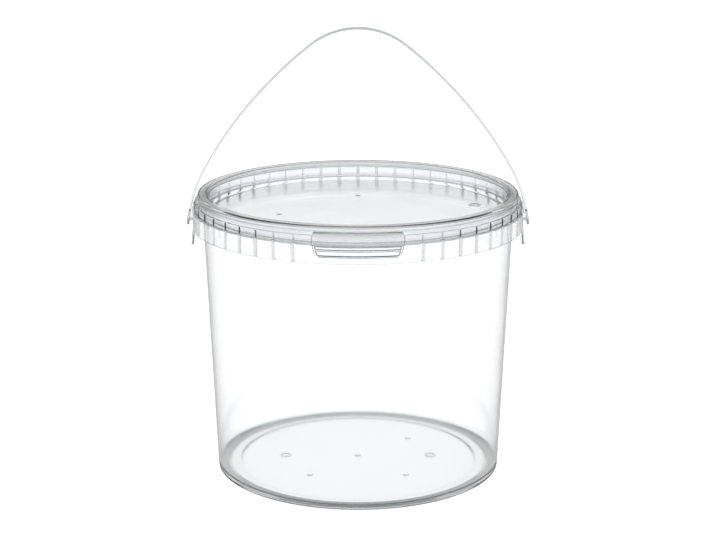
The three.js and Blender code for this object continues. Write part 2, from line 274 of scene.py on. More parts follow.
# Studio: the room's grey at each upward part of a direction, 0 at the horizon and 1 straight up
STUDIO_LEVELS = (
    (0.0, 0.75), (0.15, 0.6), (0.2, 0.5), (0.245, 0.95), (0.34, 0.98), (0.55, 0.6), (1.0, 0.9))
LIGHT_BOUNCES = 32

# Floor: a wide disc just under the bucket, how nearly white it glows, and its share in reflections
FLOOR_REACH = 3.0
FLOOR_DEPTH = 20.0 * MM
FLOOR_HAIRLINE = 0.05 * MM
FLOOR_GREY = 0.3
FLOOR_ROUGHNESS = 0.9
FLOOR_GLOW = 0.97
MIRRORED_SHARE = 0.3

flange_top = RIM_TOP - FLANGE_DROP
flange_bottom = flange_top - FLANGE_THICKNESS
band_bottom = flange_bottom - BAND_HEIGHT
collar_top = flange_top + COLLAR_HEIGHT
collar_outer = FLANGE_RADIUS - FLANGE_LEDGE
collar_inner = collar_outer - COLLAR_THICKNESS
band_radius = FLANGE_RADIUS - BAND_SETBACK
band_inner = band_radius - BAND_THICKNESS
crown_underside = CROWN_TOP - LID_THICKNESS
panel_top = PANEL_UNDERSIDE + PANEL_THICKNESS
skirt_outer = CROWN_RADIUS - CROWN_BEAD_REACH
skirt_inner = skirt_outer - SKIRT_THICKNESS
skirt_bottom = flange_top + SKIRT_BOTTOM_GAP
tab_inner = TAB_OUTER_RADIUS - TAB_THICKNESS
floor_top = FOOT_HEIGHT + FLOOR_THICKNESS


def wall_radius(height):
    return GROUND_RADIUS + (NECK_RADIUS - GROUND_RADIUS) * height / flange_bottom


def rounded(corners, steps=FILLET_STEPS):
    """Corners are (x, y) or (x, y, fillet); each fillet becomes an arc tangent to both sides."""
    outline = []
    count = len(corners)
    for index, corner in enumerate(corners):
        here = Vector(corner[:2])
        fillet = corner[2] if len(corner) > 2 else 0
        if not fillet:
            outline.append(here)
            continue
        to_before = (Vector(corners[index - 1][:2]) - here).normalized()
        to_after = (Vector(corners[(index + 1) % count][:2]) - here).normalized()
        half_angle = to_before.angle(to_after) / 2
        centre = here + (to_before + to_after).normalized() * fillet / math.sin(half_angle)
        start = here + to_before * fillet / math.tan(half_angle) - centre
        end = here + to_after * fillet / math.tan(half_angle) - centre
        start_angle = math.atan2(start.y, start.x)
        sweep = math.atan2(end.y, end.x) - start_angle
        sweep -= TURN * round(sweep / TURN)
        for step in range(steps + 1):
            angle = start_angle + sweep * step / steps
            outline.append(centre + fillet * Vector((math.cos(angle), math.sin(angle))))
    return outline


def mesh_object(name, vertices, faces):
    mesh = bpy.data.meshes.new(name)
    mesh.from_pydata([tuple(vertex) for vertex in vertices], [], faces)
    mesh.update()
    piece = bpy.data.objects.new(name, mesh)
    bpy.context.scene.collection.objects.link(piece)
    return piece


def revolved(name, corners, steps=FILLET_STEPS, segments=ROUND_SEGMENTS):
    """A closed body turned about Z from an outline that runs outwards below and back in above."""
    outline = rounded(corners, steps)
    vertices, rings = [], []
    for point in outline:
        if point.x < ON_AXIS:
            rings.append([len(vertices)])
            vertices.append((0, 0, point.y))
            continue
        rings.append(list(range(len(vertices), len(vertices) + segments)))
        for segment in range(segments):
            angle = TURN * segment / segments
            vertices.append((point.x * math.cos(angle), point.x * math.sin(angle), point.y))
    faces = []
    for index, ring in enumerate(rings):
        other = rings[(index + 1) % len(rings)]
        if len(ring) == 1 and len(other) == 1:
            continue
        for segment in range(segments):
            after = (segment + 1) % segments
            if len(ring) == 1:
                faces.append((ring[0], other[after], other[segment]))
            elif len(other) == 1:
                faces.append((ring[segment], ring[after], other[0]))
            else:
                faces.append((ring[segment], ring[after], other[after], other[segment]))
    return mesh_object(name, vertices, faces)


def prism(name, outline, place):
    """A closed body between two copies of an outline; place(point, side) puts a copy in space."""
    count = len(outline)
    vertices = [place(point, side) for side in (0, 1) for point in outline]
    faces = [tuple(range(count)), tuple(range(2 * count - 1, count - 1, -1))]
    for index in range(count):
        after = (index + 1) % count
        faces.append((index + count, after + count, after, index))
    piece = mesh_object(name, vertices, faces)
    make_outward(piece)
    return piece


def make_outward(piece):
    work = bmesh.new()
    work.from_mesh(piece.data)
    bmesh.ops.recalc_face_normals(work, faces=work.faces)
    work.to_mesh(piece.data)
    work.free()


def combine(target, tool, operation):
    """Joins tool to target, cuts it out, or keeps what both share."""
    modifier = target.modifiers.new("combine", "BOOLEAN")
    modifier.solver = "MANIFOLD"
    modifier.operation = operation
    modifier.object = tool
    bpy.context.view_layer.update()
    depsgraph = bpy.context.evaluated_depsgraph_get()
    result = bpy.data.meshes.new_from_object(target.evaluated_get(depsgraph))
    target.modifiers.clear()
    before = target.data
    target.data = result
    bpy.data.meshes.remove(before)
    bpy.data.objects.remove(tool)
    return target


def joined(pieces):
    """One object that holds the meshes of several that don't touch each other."""
    work = bmesh.new()
    for piece in pieces:
        work.from_mesh(piece.data)
    first = pieces[0]
    work.to_mesh(first.data)
    work.free()
    for piece in pieces[1:]:
        bpy.data.objects.remove(piece)
    return first


def smooth(piece):
    """Smooth shading on curved faces; the wide flat faces keep their own direction."""
    piece.data.shade_smooth()
    piece.data.set_sharp_from_angle(angle=SHARP_ANGLE)
    modifier = piece.modifiers.new("flat_faces_stay_flat", "WEIGHTED_NORMAL")
    modifier.mode = "FACE_AREA"
    modifier.keep_sharp = True


def edge_share(face):
    """1 on a rounded edge's faces, 0 on faces that point straight out, sideways, up or down."""
    out = Vector((face.center.x, face.center.y, 0)).normalized()
    along = Vector((-out.y, out.x, 0))
    straight = max(abs(face.normal.dot(out)), abs(face.normal.dot(along)), abs(face.normal.z))
    return min(max((EDGE_STRAIGHT_FROM - straight) / EDGE_STRAIGHT_SPAN, 0), 1)


def set_painted_shade(piece, shade_at):
    """Writes at each corner of each face how much painted shade darkens the plastic there, from 0 to 1.
    """
    mesh = piece.data
    painted_shade = mesh.attributes.new("painted_shade", "FLOAT", "CORNER")
    for face in mesh.polygons:
        for corner, vertex in zip(face.loop_indices, face.vertices):
            painted_shade.data[corner].value = shade_at(mesh.vertices[vertex].co, face)


def bar_along_x(name, radius, from_x, to_x, height):
    """A round bar from one place along X to another, centred at a height."""
    angles = [TURN * step / BAR_SEGMENTS for step in range(BAR_SEGMENTS)]
    circle = [radius * Vector((math.cos(angle), math.sin(angle))) for angle in angles]
    return prism(name, circle, lambda point, side: ((from_x, to_x)[side], point.x, height + point.y))


def front_wedge(name, half_angle, radius, bottom, top):
    """A wedge from the axis to the front that reaches past a radius, an angle wide to each side."""
    reach = radius / math.cos(half_angle)
    wedge = [Vector((0, 0)),
             Vector((-reach * math.sin(half_angle), -reach * math.cos(half_angle))),
             Vector((reach * math.sin(half_angle), -reach * math.cos(half_angle)))]
    return prism(name, wedge, lambda point, side: (point.x, point.y, (bottom, top)[side]))


def upright_rib(name, angle, width, flank, root, skin, face, bottom, top):
    """A rib at an angle from the front, buried at its root, whose flanks slope in from skin to face."""
    out = Vector((math.sin(angle), -math.cos(angle)))
    across = Vector((math.cos(angle), math.sin(angle)))
    crest = width / 2 - flank
    plan = rounded([(-width / 2, root), (-width / 2, skin), (-crest, face, flank / 2),
                    (crest, face, flank / 2), (width / 2, skin), (width / 2, root)])

    def place(point, side):
        spot = across * point.x + out * point.y
        return (spot.x, spot.y, (bottom, top)[side])

    return prism(name, plan, place)


def bucket_shell():
    inner_at_floor = wall_radius(floor_top) - WALL
    inner_at_rim = NECK_RADIUS - WALL
    step_under = FOOT_HEIGHT - FLOOR_STEP_HEIGHT
    return revolved("bucket", [
        (0, FOOT_HEIGHT),
        (FLOOR_STEP_RADIUS, FOOT_HEIGHT, FLOOR_STEP_HEIGHT),
        (FLOOR_STEP_RADIUS + FOOT_HEIGHT, step_under, FLOOR_STEP_HEIGHT),
        (FOOT_INNER_RADIUS, step_under, FOOT_FILLET),
        (FOOT_INNER_RADIUS + FOOT_HEIGHT, 0, FOOT_FILLET),
        (GROUND_RADIUS, 0, FOOT_OUTER_FILLET),
        (NECK_RADIUS, flange_bottom, ROOT_FILLET),
        (band_inner, flange_bottom, ROOT_FILLET),
        (band_inner, band_bottom, EDGE_FILLET),
        (band_radius, band_bottom, EDGE_FILLET),
        (band_radius, flange_bottom),
        (FLANGE_RADIUS, flange_bottom, EDGE_FILLET),
        (FLANGE_RADIUS, flange_top, EDGE_FILLET),
        (collar_outer, flange_top, EDGE_FILLET),
        (collar_outer, collar_top, EDGE_FILLET),
        (collar_inner, collar_top, EDGE_FILLET),
        (collar_inner, flange_top, EDGE_FILLET),
        (NECK_RADIUS, flange_top, EDGE_FILLET),
        (NECK_RADIUS, RIM_TOP - RIM_BEAD_HEIGHT, EDGE_FILLET),
        (NECK_RADIUS + RIM_BEAD_REACH, RIM_TOP - RIM_BEAD_HEIGHT, RIM_FILLET),
        (NECK_RADIUS + RIM_BEAD_REACH, RIM_TOP, RIM_FILLET),
        (inner_at_rim, RIM_TOP, RIM_FILLET),
        (inner_at_rim, flange_top),
        (inner_at_floor, floor_top, FLOOR_FILLET),
        (0, floor_top),
    ])


def add_ribs(bucket):
    pitch = TURN / RIB_COUNT
    flange_middle = flange_top - FLANGE_THICKNESS / 2
    collar_rib = (COLLAR_RIB_WIDTH, COLLAR_RIB_FLANK, collar_outer - COLLAR_THICKNESS / 2, collar_outer,
                  collar_outer + COLLAR_RIB_REACH, flange_middle, flange_top + COLLAR_RIB_HEIGHT)
    band_rib = (BAND_RIB_WIDTH, BAND_RIB_FLANK, band_inner + BAND_THICKNESS / 2, band_inner,
                band_inner - BAND_RIB_REACH, band_bottom + BAND_RIB_INSET, flange_middle)
    angles = [index * pitch for index in range(RIB_COUNT)]
    ribbed = [angle for angle in angles if min(angle, TURN - angle) > RIB_FREE_TAB_ANGLE]
    for sizes in (collar_rib, band_rib):
        combine(bucket, joined([upright_rib("rib", angle, *sizes) for angle in ribbed]), "UNION")


def add_ear(bucket, side):
    low = band_bottom - EAR_RADIUS - OVERRUN
    root = band_bottom + BAND_THICKNESS
    plate = revolved("ear", [(band_inner + EAR_FLARE, low), (band_radius + EAR_FLARE, low),
                             (band_radius, root), (band_inner, root)])
    bead = revolved("ear_bead", [
        (band_inner + EAR_FLARE - EAR_BEAD_REACH, low), (band_radius + EAR_FLARE + EAR_BEAD_REACH, low),
        (band_radius + EAR_BEAD_REACH, band_bottom), (band_inner - EAR_BEAD_REACH, band_bottom)])
    inner_x = side * wall_radius(band_bottom)
    outer_x = side * (FLANGE_RADIUS + EAR_FLARE + OVERRUN)
    combine(plate, bar_along_x("disc", EAR_RADIUS, inner_x, outer_x, band_bottom), "INTERSECT")
    ring = bar_along_x("ring", EAR_RADIUS, inner_x, outer_x, band_bottom)
    hole = bar_along_x("hole", EAR_RADIUS - EAR_BEAD_WIDTH, inner_x - side * OVERRUN,
                       outer_x + side * OVERRUN, band_bottom)
    combine(ring, hole, "DIFFERENCE")
    combine(bead, ring, "INTERSECT")
    combine(plate, bead, "UNION")
    combine(bucket, plate, "UNION")


def add_mark(piece, place, level, radius, ring=False):
    """A low round dot, or a low ring, moulded on a flat floor or panel at a level."""
    low, top = level - MARK_HEIGHT, level + MARK_HEIGHT
    inner = radius - MARK_RING_WIDTH if ring else 0
    inner_top = inner + MARK_SLOPE if ring else 0
    outline = [(inner, low), (radius, low), (radius - MARK_SLOPE, top), (inner_top, top)]
    mark = revolved("mark", outline, segments=MARK_SEGMENTS)
    for vertex in mark.data.vertices:
        vertex.co.x += place[0]
        vertex.co.y += place[1]
    combine(piece, mark, "UNION")


def cut_tab_notch(bucket):
    """Takes away the collar where the lid's lip passes, and the flange's edge beyond the band there."""
    top = CROWN_TOP + OVERRUN
    far = FLANGE_RADIUS + OVERRUN
    gap_radius = (CROWN_RADIUS + collar_inner) / 2
    low = flange_bottom - OVERRUN
    for inner, bottom in ((gap_radius, flange_top), (band_radius, low)):
        ring = revolved("notch", [(inner, bottom), (far, bottom), (far, top), (inner, top)])
        wedge = front_wedge("wedge", TAB_NOTCH_HALF_ANGLE, far + OVERRUN, low, top)
        combine(ring, wedge, "INTERSECT")
        combine(bucket, ring, "DIFFERENCE")


def bore_for_pin(bucket, side):
    inner_x = side * (band_inner - BAND_THICKNESS)
    outer_x = side * (FLANGE_RADIUS + OVERRUN)
    bore = bar_along_x("bore", PIN_RADIUS + CLEARANCE, inner_x, outer_x, PIVOT_HEIGHT)
    combine(bucket, bore, "DIFFERENCE")


def add_floor_marks(bucket):
    """A dot in the middle, where the mould was filled, and rings and dots on a circle about it."""
    add_mark(bucket, (0, 0), floor_top, FLOOR_GATE_RADIUS)
    for angles, radius, ring in ((FLOOR_RING_ANGLES, FLOOR_RING_RADIUS, True),
                                 (FLOOR_DOT_ANGLES, FLOOR_DOT_RADIUS, False)):
        for angle in angles:
            place = (FLOOR_MARKS_RADIUS * math.cos(angle), FLOOR_MARKS_RADIUS * math.sin(angle))
            add_mark(bucket, place, floor_top, radius, ring)


def bucket_painted_shade(point, face):
    """Paints shade on the foot, the ring under the floor's edge, the marks, the ribs and rounded edges.
    """
    height = face.center.z
    from_axis = math.hypot(face.center.x, face.center.y)
    if height < FOOT_HEIGHT - FLOOR_STEP_HEIGHT and from_axis > FOOT_INNER_RADIUS:
        return FOOT_SHADE
    if height < FOOT_HEIGHT and FLOOR_STEP_RADIUS < from_axis < FOOT_INNER_RADIUS:
        return FLOOR_RING_SHADE
    if height < floor_top + MARK_SLOPE and from_axis < FLOOR_STEP_RADIUS:
        return MARK_SHADE * edge_share(face)
    radius = math.hypot(point.x, point.y)
    inwards = (band_inner - radius) / BAND_RIB_REACH
    if band_bottom < height < flange_bottom and RIB_FROM_SHARE < inwards < RIB_TO_SHARE:
        return BAND_RIB_SHADE
    outwards = (radius - collar_outer) / COLLAR_RIB_REACH
    if flange_top < height < collar_top and RIB_FROM_SHARE < outwards < RIB_TO_SHARE:
        return COLLAR_RIB_SHADE * outwards
    return BUCKET_EDGE_SHADE * edge_share(face)


def make_bucket():
    bucket = bucket_shell()
    add_ribs(bucket)
    cut_tab_notch(bucket)
    for side in (-1, 1):
        add_ear(bucket, side)
        bore_for_pin(bucket, side)
    add_floor_marks(bucket)
    set_painted_shade(bucket, bucket_painted_shade)
    smooth(bucket)
    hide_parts("bucket_body", "rim_band")
    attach(bucket, "bucket")
    return bucket


def lid_shell():
    plug = PANEL_RADIUS + PANEL_THICKNESS
    crown_inner = PANEL_RADIUS + RECESS_FLARE
    bead_bottom = CROWN_TOP - CROWN_BEAD_HEIGHT
    return revolved("lid_shell", [
        (0, PANEL_UNDERSIDE),
        (plug, PANEL_UNDERSIDE, PANEL_THICKNESS / 2),
        (crown_inner + PANEL_THICKNESS, crown_underside, RIM_FILLET),
        (skirt_inner, crown_underside, EDGE_FILLET),
        (skirt_inner, skirt_bottom, EDGE_FILLET),
        (skirt_outer, skirt_bottom, EDGE_FILLET),
        (skirt_outer, bead_bottom - CROWN_BEAD_STEP, EDGE_FILLET),
        (CROWN_RADIUS, bead_bottom, EDGE_FILLET),
        (CROWN_RADIUS, CROWN_TOP, CROWN_FILLET),
        (crown_inner, CROWN_TOP, CROWN_INNER_FILLET),
        (PANEL_RADIUS, panel_top, RECESS_FILLET),
        (0, panel_top),
    ])


def lid_lip():
    """The lip at the front: out from the skirt, round and down, with a shallow groove across it."""
    root = skirt_outer - SKIRT_THICKNESS / 2
    root_top = CROWN_TOP - LIP_ROOT_DROP
    lip_bottom = TAB_HIGH.z + HINGE_GAP
    groove_top = lip_bottom + LIP_GROOVE_TOP
    groove_bottom = groove_top - LIP_GROOVE_HEIGHT
    groove_radius = TAB_OUTER_RADIUS - LIP_GROOVE_DEPTH
    lip = revolved("lip", [
        (root, root_top - LIP_THICKNESS),
        (tab_inner, root_top - LIP_THICKNESS, LIP_BULGE_RADIUS - LIP_THICKNESS),
        (tab_inner, lip_bottom),
        (TAB_OUTER_RADIUS, lip_bottom, HINGE_FILM),
        (TAB_OUTER_RADIUS, groove_bottom, LIP_GROOVE_DEPTH),
        (groove_radius, (groove_bottom + groove_top) / 2, LIP_GROOVE_DEPTH / 2),
        (TAB_OUTER_RADIUS, groove_top, LIP_GROOVE_DEPTH),
        (TAB_OUTER_RADIUS, root_top, LIP_BULGE_RADIUS),
        (root, root_top),
    ], steps=LIP_STEPS)
    far = TAB_OUTER_RADIUS + OVERRUN
    wedge = front_wedge("wedge", TAB_HALF_ANGLE, far, flange_top - OVERRUN, CROWN_TOP)
    return combine(lip, wedge, "INTERSECT")


def lid_painted_shade(point, face):
    """Paints shade on the marks on the panel."""
    if math.hypot(point.x, point.y) < PANEL_RADIUS - RECESS_FILLET:
        return MARK_SHADE * edge_share(face)
    return 0


def make_lid():
    lid = lid_shell()
    combine(lid, lid_lip(), "UNION")
    for place in LID_DOTS:
        add_mark(lid, place, panel_top, LID_DOT_RADIUS)
    add_mark(lid, LID_RING_PLACE, panel_top, LID_RING_RADIUS, ring=True)
    set_painted_shade(lid, lid_painted_shade)
    smooth(lid)
    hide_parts("lid")
    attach(lid, "lid")
    return lid


def tab_outline(side, above=0, below=0):
    """The flap from the front, made smaller at its two sides, above and below."""
    top_half = TAB_OUTER_RADIUS * math.sin(TAB_HALF_ANGLE) - side
    bottom_half = top_half - TAB_SIDE_TAPER
    top, bottom = TAB_HIGH.z - above, TAB_LOW.z + below
    corner = TAB_CORNER_RADIUS - below
    return rounded([(-top_half, top), (-bottom_half, bottom, corner),
                    (bottom_half, bottom, corner), (top_half, top)])


def front_prism(name, outline, flare):
    """A body that runs out through the front, true to the outline at the tab's two side edges.

    Its sides spread by the flare times the way outwards, or draw in where the flare is negative."""
    edge = TAB_OUTER_RADIUS * math.cos(TAB_HALF_ANGLE)
    reaches = (edge - 2 * OVERRUN, TAB_OUTER_RADIUS + OVERRUN)

    def place(point, side):
        wider = flare * (reaches[side] - edge)
        return (point.x + wider * math.copysign(1, point.x), -reaches[side], point.y)

    return prism(name, outline, place)


def tab_recess(low, high):
    """The shallow space in the tab's front, with sloped walls, less the bar that stands in it."""
    radius = TAB_OUTER_RADIUS - TAB_RECESS_DEPTH
    far = TAB_OUTER_RADIUS + OVERRUN
    recess = revolved("recess", [
        (radius, low + TAB_RECESS_SLOPE), (TAB_OUTER_RADIUS, low), (far, low),
        (far, high), (TAB_OUTER_RADIUS, high), (radius, high - TAB_RECESS_SLOPE)])
    outline = tab_outline(TAB_SIDE_RIM, TAB_TOP_RIM, TAB_BOTTOM_RIM)
    combine(recess, front_prism("recess_outline", outline, TAB_RECESS_FLARE_SHARE), "INTERSECT")
    bar_radius = radius + TAB_BAR_REACH
    bar_high = high - TAB_BAR_DROP
    bar_low = bar_high - TAB_BAR_WIDTH
    deep = radius - OVERRUN
    bar = revolved("bar", [
        (deep, bar_low), (radius, bar_low), (bar_radius, bar_low + TAB_BAR_REACH),
        (bar_radius, bar_high - TAB_BAR_REACH), (radius, bar_high), (deep, bar_high)])
    return combine(recess, bar, "DIFFERENCE")


def tab_painted_shade(point, face):
    """Paints shade on every face of the tab that doesn't face straight outwards or inwards."""
    out = Vector((face.center.x, face.center.y, 0)).normalized()
    return TAB_EDGE_SHADE if abs(face.normal.dot(out)) < EDGE_STRAIGHT_FROM else 0


def make_tab():
    low, high = TAB_LOW.z + HAIRLINE, TAB_HIGH.z - HAIRLINE
    tab = revolved("pull_tab_flap", [
        (tab_inner, low, TAB_EDGE_FILLET), (TAB_OUTER_RADIUS, low, TAB_EDGE_FILLET),
        (TAB_OUTER_RADIUS, high, TAB_EDGE_FILLET), (tab_inner, high, TAB_EDGE_FILLET)])
    narrowing = front_prism("tab_outline", tab_outline(TAB_SIDE_INSET), -TAB_SIDE_FLARE_SHARE)
    combine(tab, narrowing, "INTERSECT")
    combine(tab, tab_recess(low + TAB_BOTTOM_RIM, high - TAB_TOP_RIM), "DIFFERENCE")
    set_painted_shade(tab, tab_painted_shade)
    smooth(tab)
    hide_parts("pull_tab")
    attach(tab, "tab")
    return tab


def hinge_film():
    """The thin living hinge between the lip and the tab."""
    outer = TAB_OUTER_RADIUS - HINGE_FILM / 2
    low, high = TAB_HIGH.z, TAB_HIGH.z + HINGE_GAP
    rows = [low + (high - low) * step / HINGE_ROWS for step in range(HINGE_ROWS + 1)]
    outline = [(outer, row) for row in rows] + [(outer - HINGE_FILM, row) for row in reversed(rows)]
    film = revolved("tab_hinge_film", outline)
    wedge = front_wedge("wedge", TAB_HALF_ANGLE, outer + OVERRUN, low - OVERRUN, high + OVERRUN)
    combine(film, wedge, "INTERSECT")
    smooth(film)
    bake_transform(film)
    return film


class StrapLine:
    """The strap's middle line from the apex down one side: three arcs, each tangent to the next."""

    def __init__(self):
        """The pad stands a gap off the band at the pivot, and the side arc's radius follows from that."""
        ease = FOOT_ARC_RADIUS - math.sqrt(FOOT_ARC_RADIUS ** 2 - UPRIGHT_BELOW_PIVOT ** 2)
        reach = band_radius + PAD_GAP + STRAP_THICKNESS / 2 + ease
        side_radius = (reach - APEX_RADIUS * math.sin(APEX_ARC_ANGLE)
                       - FOOT_ARC_RADIUS * (1 - math.sin(SIDE_ARC_ANGLE)))
        side_radius /= math.sin(SIDE_ARC_ANGLE) - math.sin(APEX_ARC_ANGLE)
        apex_height = STRAP_HIGH.z - STRAP_THICKNESS / 2
        centre = Vector((0, apex_height - APEX_RADIUS))
        self.arcs = []
        length = 0
        last_radius = APEX_RADIUS
        for radius, start, end in ((APEX_RADIUS, 0, APEX_ARC_ANGLE),
                                   (side_radius, APEX_ARC_ANGLE, SIDE_ARC_ANGLE),
                                   (FOOT_ARC_RADIUS, SIDE_ARC_ANGLE, math.pi / 2)):
            centre = centre + (last_radius - radius) * Vector((math.sin(start), math.cos(start)))
            self.arcs.append((centre, radius, start, end, length))
            length += radius * (end - start)
            last_radius = radius
        pivot_angle = math.pi / 2 - math.asin(UPRIGHT_BELOW_PIVOT / FOOT_ARC_RADIUS)
        foot_centre, _, foot_start, _, foot_length = self.arcs[-1]
        self.to_pivot = foot_length + FOOT_ARC_RADIUS * (pivot_angle - foot_start)
        self.pivot_x = foot_centre.x + FOOT_ARC_RADIUS * math.sin(pivot_angle)

    def at(self, length):
        """The place, and the direction across the line, at a length along it."""
        for centre, radius, start, end, before in self.arcs:
            if length <= before + radius * (end - start):
                break
        angle = start + (length - before) / radius
        out = Vector((math.sin(angle), math.cos(angle)))
        return centre + radius * out, out

    def nearest(self, x, z):
        """The length along the line, and the distance outside it, of a point at x and z."""
        point = Vector((x, z))
        for centre, radius, start, end, before in self.arcs:
            out = point - centre
            angle = math.atan2(out.x, out.y)
            if angle <= end:
                break
        return before + radius * (angle - start), out.length - radius

    def folded(self, x, z):
        """Where a point of the strap lies once the strap is laid down round the band."""
        length, outside = self.nearest(x, z)
        if outside < -STRAP_THICKNESS:
            return Vector((x, z))
        angle = math.pi / 2 * length / self.to_pivot
        if angle > math.pi / 2:
            return Vector((self.pivot_x + outside, PIVOT_HEIGHT + self.to_pivot - length))
        out = Vector((math.sin(angle), math.cos(angle)))
        return Vector((0, PIVOT_HEIGHT)) + (self.pivot_x + outside) * out


def strap_width(line, length):
    """The strap's width at a length along it: even, then as wide as the round pad about the pivot."""
    past = length - line.to_pivot
    pad = 2 * math.sqrt(max(PAD_RADIUS ** 2 - past ** 2, 0))
    if past > 0:
        return pad
    if not pad:
        return STRAP_WIDTH
    return (STRAP_WIDTH ** PAD_SHARPNESS + pad ** PAD_SHARPNESS) ** (1 / PAD_SHARPNESS)


def strap_section(line, length):
    """The strap's outline across its line, with rounded edges, at a length along it."""
    half_width = strap_width(line, length) / 2
    half = STRAP_THICKNESS / 2
    fillet = min(STRAP_EDGE_FILLET, half_width * STRAP_FILLET_SHARE)
    return rounded([(-half_width, -half, fillet), (half_width, -half, fillet),
                    (half_width, half, fillet), (-half_width, half, fillet)])


def strap_along(line):
    """The strap from the left pad over the apex to the right pad, as one closed body."""
    last = line.to_pivot + PAD_RADIUS * PAD_END_SHARE
    lengths = [last * step / STRAP_STEPS for step in range(STRAP_STEPS + 1)]
    stations = [(-1, length) for length in reversed(lengths[1:])] + [(1, length) for length in lengths]
    vertices = []
    for side, length in stations:
        place, out = line.at(length)
        section = strap_section(line, length)
        for point in section:
            spot = place + out * point.y
            vertices.append((side * spot.x, point.x, spot.y))
    count = len(section)
    last_start = len(vertices) - count
    faces = []
    for low in range(0, last_start, count):
        for index in range(count):
            after = (index + 1) % count
            faces.append((low + index, low + after, low + count + after, low + count + index))
    faces.append(tuple(range(count)))
    faces.append(tuple(reversed(range(last_start, last_start + count))))
    strap = mesh_object("strap_handle", vertices, faces)
    make_outward(strap)
    return strap


def add_pin(strap, line, side):
    """A pin from the pad in through the band, with a wider head behind the band."""
    head_sag = band_inner - math.sqrt(band_inner ** 2 - PIN_HEAD_RADIUS ** 2)
    head_outer = band_inner - head_sag - CLEARANCE
    pin = bar_along_x("pin", PIN_RADIUS, side * (head_outer - PIN_HEAD_THICKNESS / 2),
                      side * line.pivot_x, PIVOT_HEIGHT)
    head = bar_along_x("pin_head", PIN_HEAD_RADIUS, side * (head_outer - PIN_HEAD_THICKNESS),
                       side * head_outer, PIVOT_HEIGHT)
    combine(pin, head, "UNION")
    combine(strap, pin, "UNION")


def set_folded_places(strap, line):
    """Writes at each point where it lies once the strap is laid down."""
    folded = strap.data.attributes.new("folded", "FLOAT_VECTOR", "POINT")
    for index, vertex in enumerate(strap.data.vertices):
        x, y, z = vertex.co
        laid = line.folded(abs(x), z)
        folded.data[index].vector = (math.copysign(laid.x, x), y, laid.y)


def add_fold(piece, body):
    """Moves each point towards its folded place as the body turns from upright about X."""
    tree = bpy.data.node_groups.new("strap_fold", "GeometryNodeTree")
    tree.interface.new_socket("Geometry", in_out="INPUT", socket_type="NodeSocketGeometry")
    tree.interface.new_socket("Geometry", in_out="OUTPUT", socket_type="NodeSocketGeometry")
    nodes, links = tree.nodes, tree.links
    entry = nodes.new("NodeGroupInput")
    leave = nodes.new("NodeGroupOutput")
    turned = nodes.new("GeometryNodeObjectInfo")
    turned.transform_space = "ORIGINAL"
    turned.inputs["Object"].default_value = bpy.data.objects["body:" + body]
    upright = nodes.new("FunctionNodeRotateVector")
    upright.inputs["Vector"].default_value = (0, 0, 1)
    links.new(turned.outputs["Rotation"], upright.inputs["Rotation"])
    split = nodes.new("ShaderNodeSeparateXYZ")
    links.new(upright.outputs["Vector"], split.inputs["Vector"])
    share = nodes.new("ShaderNodeMath")
    share.operation = "ABSOLUTE"
    links.new(split.outputs["Y"], share.inputs[0])
    place = nodes.new("GeometryNodeInputPosition")
    folded = nodes.new("GeometryNodeInputNamedAttribute")
    folded.data_type = "FLOAT_VECTOR"
    folded.inputs["Name"].default_value = "folded"
    between = nodes.new("ShaderNodeMix")
    between.data_type = "VECTOR"
    links.new(share.outputs["Value"], between.inputs["Factor"])
    links.new(place.outputs["Position"], between.inputs["A"])
    links.new(folded.outputs["Attribute"], between.inputs["B"])
    move = nodes.new("GeometryNodeSetPosition")
    links.new(entry.outputs["Geometry"], move.inputs["Geometry"])
    links.new(between.outputs["Result"], move.inputs["Position"])
    links.new(move.outputs["Geometry"], leave.inputs["Geometry"])
    modifier = piece.modifiers.new("strap_fold", "NODES")
    modifier.node_group = tree


def make_handle():
    line = StrapLine()
    strap = strap_along(line)
    for side in (-1, 1):
        add_pin(strap, line, side)
    set_folded_places(strap, line)
    add_fold(strap, "handle")
    smooth(strap)
    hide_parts("handle_strap", "handle_end_left", "handle_end_right")
    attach(strap, "handle")
    return strap


def shaded_colour(nodes, links, tint):
    """The plastic's tint, darkened by the painted shade on the faces' corners."""
    painted_shade = nodes.new("ShaderNodeAttribute")
    painted_shade.attribute_name = "painted_shade"
    colour = nodes.new("ShaderNodeMix")
    colour.data_type = "RGBA"
    colour.inputs["A"].default_value = (*tint, 1)
    colour.inputs["B"].default_value = (*[DARKEST_SHARE * part for part in tint], 1)
    links.new(painted_shade.outputs["Fac"], colour.inputs["Factor"])
    return colour.outputs["Result"]


def noise(nodes, links, scale, detail):
    place = nodes.new("ShaderNodeTexCoord")
    texture = nodes.new("ShaderNodeTexNoise")
    texture.inputs["Scale"].default_value = scale
    texture.inputs["Detail"].default_value = detail
    links.new(place.outputs["Object"], texture.inputs["Vector"])
    return texture.outputs["Fac"]


def uneven_roughness(nodes, links, roughness):
    haze = nodes.new("ShaderNodeMapRange")
    haze.inputs["To Min"].default_value = roughness * HAZE_LOW_SHARE
    haze.inputs["To Max"].default_value = roughness * HAZE_HIGH_SHARE
    links.new(noise(nodes, links, HAZE_SCALE, HAZE_DETAIL), haze.inputs["Value"])
    return haze.outputs["Result"]


def wavy_surface(nodes, links):
    bump = nodes.new("ShaderNodeBump")
    bump.inputs["Strength"].default_value = WAVE_STRENGTH
    bump.inputs["Distance"].default_value = WAVE_HEIGHT
    links.new(noise(nodes, links, WAVE_SCALE, WAVE_DETAIL), bump.inputs["Height"])
    return bump.outputs["Normal"]


def absorption(nodes, density):
    volume = nodes.new("ShaderNodeVolumeAbsorption")
    volume.inputs["Color"].default_value = (*ABSORBED, 1)
    volume.inputs["Density"].default_value = density
    return volume.outputs["Volume"]


